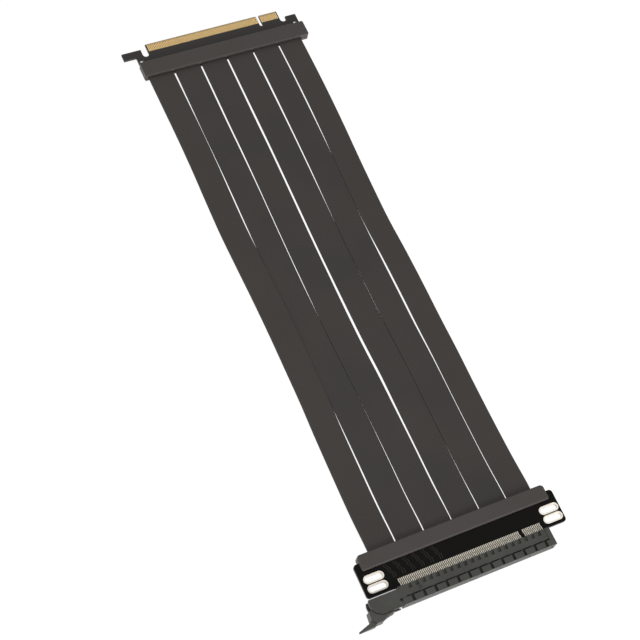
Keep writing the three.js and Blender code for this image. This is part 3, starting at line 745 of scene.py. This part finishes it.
@dataclass
class SocketEnd:
    """The socket board's plated slots and the socket's solder tails."""

    frame: Frame
    mid: float = 3.75
    board_thickness: float = 1.6
    slot_length: float = 10.0
    slot_width: float = 3.2
    slot_rim: float = 0.7
    rim_height: float = 0.05
    slot_spacing: float = 5.2
    slot_spread: float = 103.35
    slot_offset: float = -1.1
    slot_first_row: float = -0.1
    arc_steps: int = 12
    skin: float = 0.012
    wall_skin: float = 0.11
    wall_cover: float = 0.07
    wall_round: float = 0.04
    tail_width: float = 0.5
    tail_thickness: float = 0.28
    tail_foot: float = 1.8
    tail_rise: float = 1.1
    tail_slope: float = 0.8
    tail_seat: float = 0.02
    tail_round: float = 0.06
    tail_blend: float = 0.08
    tail_gap: float = 0.01
    tail_lift: float = 0.008
    housing_rear: float = -4.4
    housing_mouth: float = -14.2
    housing_height: float = 7.5
    body_height: float = 6.7
    flange_depth: float = 3.3
    window_count: int = 13
    window_pitch: float = 6.5
    window_width: float = 1.5
    window_front: float = 0.35
    window_depth: float = 1.9
    groove_width: float = 0.8
    groove_depth: float = 1.3
    groove_reach: float = 41.8
    notch_count: int = 20
    notch_pitch: float = 4.0
    notch_width: float = 1.9
    notch_length: float = 2.7
    notch_depth: float = 1.0
    cut_clearance: float = 1.0
    trace_pairs: int = 6
    trace_first_x: float = -45.6
    trace_pitch: float = 5.4
    trace_spacing: float = 1.3
    trace_width: float = 0.22
    trace_height: float = 0.03
    trace_steps: tuple[tuple[float, float], ...] = (
        (0.0, 9.6), (0.0, 8.2), (1.3, 6.9), (1.3, 5.0), (2.6, 3.7), (2.6, 1.2),
    )

    def oval(self, x: float, y: float, reach: float, half_width: float) -> list[tuple[float, float]]:
        """Draws a round-ended slot outline, anticlockwise.

        Args:
            x: Its middle.
            y: Its middle.
            reach: Half its length.
            half_width: Half its width.

        Returns:
            Points in millimetres.
        """
        points = []
        for end, start in ((1, -math.pi / 2), (-1, math.pi / 2)):
            centre = x + end * (reach - half_width)
            for i in range(self.arc_steps + 1):
                angle = start + math.pi * i / self.arc_steps
                points.append((
                    centre + half_width * math.cos(angle), y + half_width * math.sin(angle),
                ))
        return points

    def build_rim(self, name: str, x: float, y: float, plating: bpy.types.Material) -> bpy.types.Object:
        """Plates one mounting slot: both faces' rims and the wall between them.

        Args:
            name: The piece's name.
            x: The slot's middle.
            y: The slot's middle.
            plating: The plating, whose near-white colour is a painted reflection.

        Returns:
            The plating, as one closed ring.
        """
        reach, half = self.slot_length / 2, self.slot_width / 2
        rise = self.board_thickness / 2 + self.rim_height + self.skin
        outer = self.oval(x, y, reach + self.slot_rim + self.skin, half + self.slot_rim + self.skin)
        soft = self.oval(x, y, reach - self.wall_cover, half - self.wall_cover)
        wall = self.oval(x, y, reach - self.wall_skin, half - self.wall_skin)
        rings = [
            (outer, self.board_thickness / 2), (outer, rise),
            (soft, rise), (wall, rise - self.wall_round),
            (wall, -rise + self.wall_round), (soft, -rise),
            (outer, -rise), (outer, -self.board_thickness / 2),
        ]
        vertices = []
        for outline, z in rings:
            vertices += [self.frame.point(px, py, self.mid + z) for px, py in outline]
        count = len(outer)
        faces = []
        for ring in range(len(rings)):
            start, following = ring * count, ((ring + 1) % len(rings)) * count
            for j in range(count):
                k = (j + 1) % count
                faces.append((start + j, start + k, following + k, following + j))
        rim = mesh_object(name, vertices, faces, False, plating)
        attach(rim, Body.CABLE.value)
        return rim

    def tail_profile(self) -> list[tuple[float, float]]:
        """Draws one tail in side view, a skin's thickness proud of the solid one.

        Returns:
            Y and height above the board's face, in millimetres.
        """
        t, s = self.tail_thickness, self.skin
        return [
            (s, s), (s, t - self.tail_round), (-self.tail_blend, t + s),
            (-self.tail_foot, t + s),
            (-self.tail_foot - self.tail_slope, self.tail_rise + s),
            (self.housing_rear + self.tail_gap, self.tail_rise + s),
            (self.housing_rear + self.tail_gap, self.tail_rise - t - s),
            (-self.tail_foot - self.tail_slope - t / 2, self.tail_rise - t - s),
            (-self.tail_foot - t / 2, self.tail_lift),
        ]

    def build_tails(self, side: Side, xs: list[float], tin: bpy.types.Material) -> bpy.types.Object:
        """Lays a tinned skin over the solder tails of one row.

        Args:
            side: Which row.
            xs: The contacts' places along the socket.
            tin: The plating.

        Returns:
            The row of tails, as one piece.
        """
        profile = self.tail_profile()
        face = self.board_thickness / 2 + self.tail_seat
        half = self.tail_width / 2 + self.skin
        count = len(profile)
        vertices, faces = [], []
        for x in xs:
            base = len(vertices)
            for across in (-half, half):
                for y, z in profile:
                    height = self.mid + side.value * (face + z)
                    vertices.append(self.frame.point(x + across, y, height))
            for j in range(count):
                a, b = base + j, base + (j + 1) % count
                faces.append((a, b, b + count, a + count))
            faces.append(tuple(range(base, base + count)))
            faces.append(tuple(range(base + count, base + 2 * count)))
        tails = mesh_object(f"tinned_tails_{side.name.lower()}", vertices, faces, False, tin)
        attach(tails, Body.CABLE.value)
        return tails

    def build_traces(self) -> None:
        """Raises the solder mask over the stepped pairs of copper traces."""
        top = self.mid + self.board_thickness / 2 + self.trace_height
        vertices, faces = [], []
        starts = [
            self.trace_first_x + pair * self.trace_pitch + side
            for pair in range(self.trace_pairs) for side in (0, self.trace_spacing)
        ]
        for start in starts:
            line = [(start + shift, y) for shift, y in self.trace_steps]
            for (ax, ay), (bx, by) in zip(line, line[1:]):
                base = len(vertices)
                wide = self.trace_width
                corners = ((ax, ay), (ax + wide, ay), (bx + wide, by), (bx, by))
                for z in (top, top - self.trace_height):
                    vertices += [self.frame.point(x, y, z) for x, y in corners]
                faces.append((base, base + 1, base + 2, base + 3))
                faces.append((base + 7, base + 6, base + 5, base + 4))
                for j in range(4):
                    k = (j + 1) % 4
                    faces.append((base + j, base + k, base + 4 + k, base + 4 + j))
        traces = mesh_object("masked_traces", vertices, faces, False, TRACE_MASK.build())
        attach(traces, Body.CABLE.value)

    def cut_limits(self, side: int, inner: float) -> tuple[float, float]:
        """Finds how high and low a cut into one broad face of the housing goes.

        Args:
            side: 1 for the upper face and -1 for the lower one.
            inner: Where the cut's floor lies, in millimetres from the housing's middle.

        Returns:
            The lower and the upper Z limit, in millimetres.
        """
        clear = self.housing_height / 2 + self.cut_clearance
        low, high = sorted((self.mid + side * inner, self.mid + side * clear))
        return low, high

    def cutter_boxes(self) -> list[tuple[float, float, float, float, float, float]]:
        """Lists what the moulding tool leaves open in the housing's two broad faces.

        Returns:
            Boxes as X, Y and Z limits in millimetres.
        """
        boxes = []
        flange_rear = self.housing_mouth + self.flange_depth
        for side in (-1, 1):
            window = self.cut_limits(side, self.housing_height / 2 - self.window_depth)
            groove = self.cut_limits(side, self.body_height / 2 - self.groove_depth)
            notch = self.cut_limits(side, self.body_height / 2 - self.notch_depth)
            for i in range(-1, self.window_count):
                x = (i - (self.window_count - 1) / 2) * self.window_pitch
                boxes.append((
                    x - self.window_width / 2, x + self.window_width / 2,
                    self.housing_mouth + self.window_front, flange_rear + self.groove_width / 2,
                    *window,
                ))
            boxes.append((
                -self.groove_reach, self.groove_reach,
                flange_rear, flange_rear + self.groove_width,
                *groove,
            ))
            for i in range(self.notch_count):
                x = (i - (self.notch_count - 1) / 2) * self.notch_pitch
                boxes.append((
                    x - self.notch_width / 2, x + self.notch_width / 2,
                    self.housing_rear - self.notch_length, self.housing_rear + self.cut_clearance,
                    *notch,
                ))
        return boxes

    def carve_housing(self, plastic: bpy.types.Material) -> None:
        """Opens the housing's windows, groove and rear notches in a copy of its solid.

        Args:
            plastic: The housing's finish.
        """
        solid = frame["nodes"]["socket_housing"]
        vertices, faces = [], []
        for x0, x1, y0, y1, z0, z1 in self.cutter_boxes():
            base = len(vertices)
            corners = ((x, y, z) for z in (z0, z1) for y in (y0, y1) for x in (x0, x1))
            vertices += [self.frame.point(*corner) for corner in corners]
            for face in BOX_FACES:
                faces.append(tuple(base + corner for corner in face))
        cutter = mesh_object("housing_cutter", vertices, faces, False, plastic)
        housing = bpy.data.objects.new("carved_socket_housing", solid.data.copy())
        housing.matrix_world = solid.matrix_world.copy()
        bpy.context.scene.collection.objects.link(housing)
        cut = housing.modifiers.new("windows_and_notches", "BOOLEAN")
        cut.operation = "DIFFERENCE"
        cut.solver = "EXACT"
        cut.use_self = True
        cut.object = cutter
        graph = bpy.context.evaluated_depsgraph_get()
        carved = bpy.data.meshes.new_from_object(housing.evaluated_get(graph))
        housing.modifiers.clear()
        housing.data = carved
        bpy.data.objects.remove(cutter)
        housing.data.materials.clear()
        housing.data.materials.append(plastic)
        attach(housing, Body.CABLE.value)
        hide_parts("socket_housing")
        log.info("housing carved to %d faces", len(carved.polygons))

    def build(self, contact_xs: list[float]) -> None:
        """Builds the slot rims and both rows of tails.

        Args:
            contact_xs: The contacts' places along the socket.
        """
        # The rims take the painted reflection: near white in place of gold.
        plating = RIM_PAINTED_REFLECTION.build()
        for end, word in ((-1, "left"), (1, "right")):
            for row in (0, 1):
                x = self.slot_offset + end * self.slot_spread / 2
                y = self.slot_first_row + row * self.slot_spacing
                self.build_rim(f"slot_plating_{word}_{row + 1}", x, y, plating)
        tin = TAIL_TIN.build()
        for side in Side:
            self.build_tails(side, contact_xs, tin)
        self.build_traces()
        self.carve_housing(SOCKET_PBT.build())
        log.info("slots plated and tails tinned")


def dress_solids() -> None:
    """Gives each solid that stays in view its finish."""
    cover, potting = COVER_NYLON.build(), POTTING.build()
    finishes = {
        "plug_board": SATIN_MASK.build(), "socket_board": SolderMask().build(),
        "plug_inner_mould": potting, "socket_inner_mould": potting,
        "plug_cover_top": cover, "plug_cover_bottom": cover,
        "socket_cover_top": cover, "socket_cover_bottom": cover,
        "socket_latch": LATCH_NYLON.build(),
    }
    for name, material in finishes.items():
        solid = frame["nodes"][name]
        solid.data.materials.clear()
        solid.data.materials.append(material)
        log.info("%s dressed", name)


WHITE = (1, 1, 1, 1)


@dataclass(frozen=True)
class Studio:
    """A white table and white surroundings, soft light from above, and the photograph's viewpoint."""

    frame: Frame
    camera_at: tuple[float, float, float] = (-275.067, -153.716, 721.892)
    look: tuple[float, float, float] = (0.31274719, 0.36849851, -0.87544163)
    up: tuple[float, float, float] = (0.29696653, 0.83753616, 0.45863283)
    lens_mm: float = 84.24
    sensor_mm: float = 36.0
    table_size_m: float = 6.0
    table_drop_mm: float = 0.05
    shadow_share: float = 0.08
    paper_strength: float = 1.06
    world_strength: float = 0.46
    lamp_size_m: float = 0.9
    lamp_at_m: tuple[float, float, float] = (-0.7, 0.5, 1.5)
    lamp_power: float = 5.0
    front_lamp_at_m: tuple[float, float, float] = (0.35, -1.4, 0.55)
    front_lamp_power: float = 16.0

    def build_camera(self) -> None:
        """Places the camera where the photograph was taken from."""
        data = bpy.data.cameras.new("photo_camera")
        data.lens = self.lens_mm
        data.sensor_width = self.sensor_mm
        data.sensor_fit = "HORIZONTAL"
        data.clip_start = 0.01
        back = -Vector(self.look).normalized()
        up = Vector(self.up).normalized()
        right = up.cross(back).normalized()
        turn = Matrix((right, up, back)).transposed().to_4x4()
        camera = bpy.data.objects.new("photo_camera", data)
        camera.matrix_world = Matrix.Translation(self.frame.point(*self.camera_at)) @ turn
        bpy.context.scene.collection.objects.link(camera)
        bpy.context.scene.camera = camera

    def build_table(self) -> None:
        """Lays the white table, which keeps a faint shadow of the object."""
        half = self.table_size_m / 2
        z = -self.table_drop_mm * MM
        plan = ((-half, -half), (half, -half), (half, half), (-half, half))
        corners = [Vector((x, y, z)) for x, y in plan]
        material, tree, shader = blank_material("white_table")
        shader.inputs["Base Color"].default_value = linear("#f4f4f4")
        shader.inputs["Roughness"].default_value = 0.9
        shader.inputs["Specular IOR Level"].default_value = 0.1
        path = add_node(tree, "ShaderNodeLightPath")
        seen = add_node(tree, "ShaderNodeMath", {"operation": "MAXIMUM"}, {
            0: path.outputs["Is Camera Ray"], 1: path.outputs["Is Glossy Ray"],
        })
        share = add_node(tree, "ShaderNodeMath", {"operation": "MULTIPLY"}, {
            0: seen.outputs[0], 1: 1 - self.shadow_share,
        })
        paper = add_node(tree, "ShaderNodeEmission", None, {
            "Color": WHITE, "Strength": self.paper_strength,
        })
        mix = add_node(tree, "ShaderNodeMixShader", None, {
            0: share.outputs[0], 1: shader.outputs["BSDF"], 2: paper.outputs["Emission"],
        })
        tree.links.new(mix.outputs[0], tree.nodes["Material Output"].inputs["Surface"])
        mesh_object("white_table", corners, [(0, 1, 2, 3)], False, material)

    def build_light(self) -> None:
        """Sets the white surroundings, a soft lamp above and one low in front."""
        world = bpy.data.worlds.new("white_surroundings")
        bpy.context.scene.world = world
        world.use_nodes = True
        tree = world.node_tree
        tree.nodes.clear()
        path = add_node(tree, "ShaderNodeLightPath")
        seen = add_node(tree, "ShaderNodeMath", {"operation": "MAXIMUM"}, {
            0: path.outputs["Is Camera Ray"], 1: path.outputs["Is Transmission Ray"],
        })
        lit = add_node(tree, "ShaderNodeBackground", None, {
            "Color": WHITE, "Strength": self.world_strength,
        })
        white = add_node(tree, "ShaderNodeBackground", None, {"Color": WHITE, "Strength": 1.0})
        mix = add_node(tree, "ShaderNodeMixShader", None, {
            0: seen.outputs[0], 1: lit.outputs[0], 2: white.outputs[0],
        })
        out = add_node(tree, "ShaderNodeOutputWorld")
        tree.links.new(mix.outputs[0], out.inputs["Surface"])
        self.build_lamp("soft_lamp", self.lamp_at_m, self.lamp_power)
        self.build_lamp("front_lamp", self.front_lamp_at_m, self.front_lamp_power)

    def build_lamp(self, name: str, at_m: tuple[float, float, float], power: float) -> None:
        """Hangs one square area lamp, aimed at the middle of the cable.

        Args:
            name: The lamp's name.
            at_m: Its place in the row frame, in metres.
            power: Its power in watts.
        """
        data = bpy.data.lights.new(name, "AREA")
        data.size = self.lamp_size_m
        data.energy = power
        lamp = bpy.data.objects.new(name, data)
        lamp.location = at_m
        lamp.rotation_euler = (-Vector(at_m)).to_track_quat("-Z", "Y").to_euler()
        bpy.context.scene.collection.objects.link(lamp)

    def build(self) -> None:
        """Builds camera, table and light."""
        self.build_camera()
        self.build_table()
        self.build_light()
        bpy.context.scene.view_settings.view_transform = "Standard"
        log.info("studio ready")


def main() -> None:
    """Builds the camera and cords first, then each end."""
    logging.basicConfig(level=logging.INFO, format="%(name)s: %(message)s")
    placed = Frame.on_model()
    Studio(placed).build()
    RibbonSet(placed).build()
    card_edge = CardEdgeEnd(placed)
    card_edge.build()
    SocketEnd(placed).build(card_edge.contact_xs())
    dress_solids()


if __name__ == "__main__":
    main()
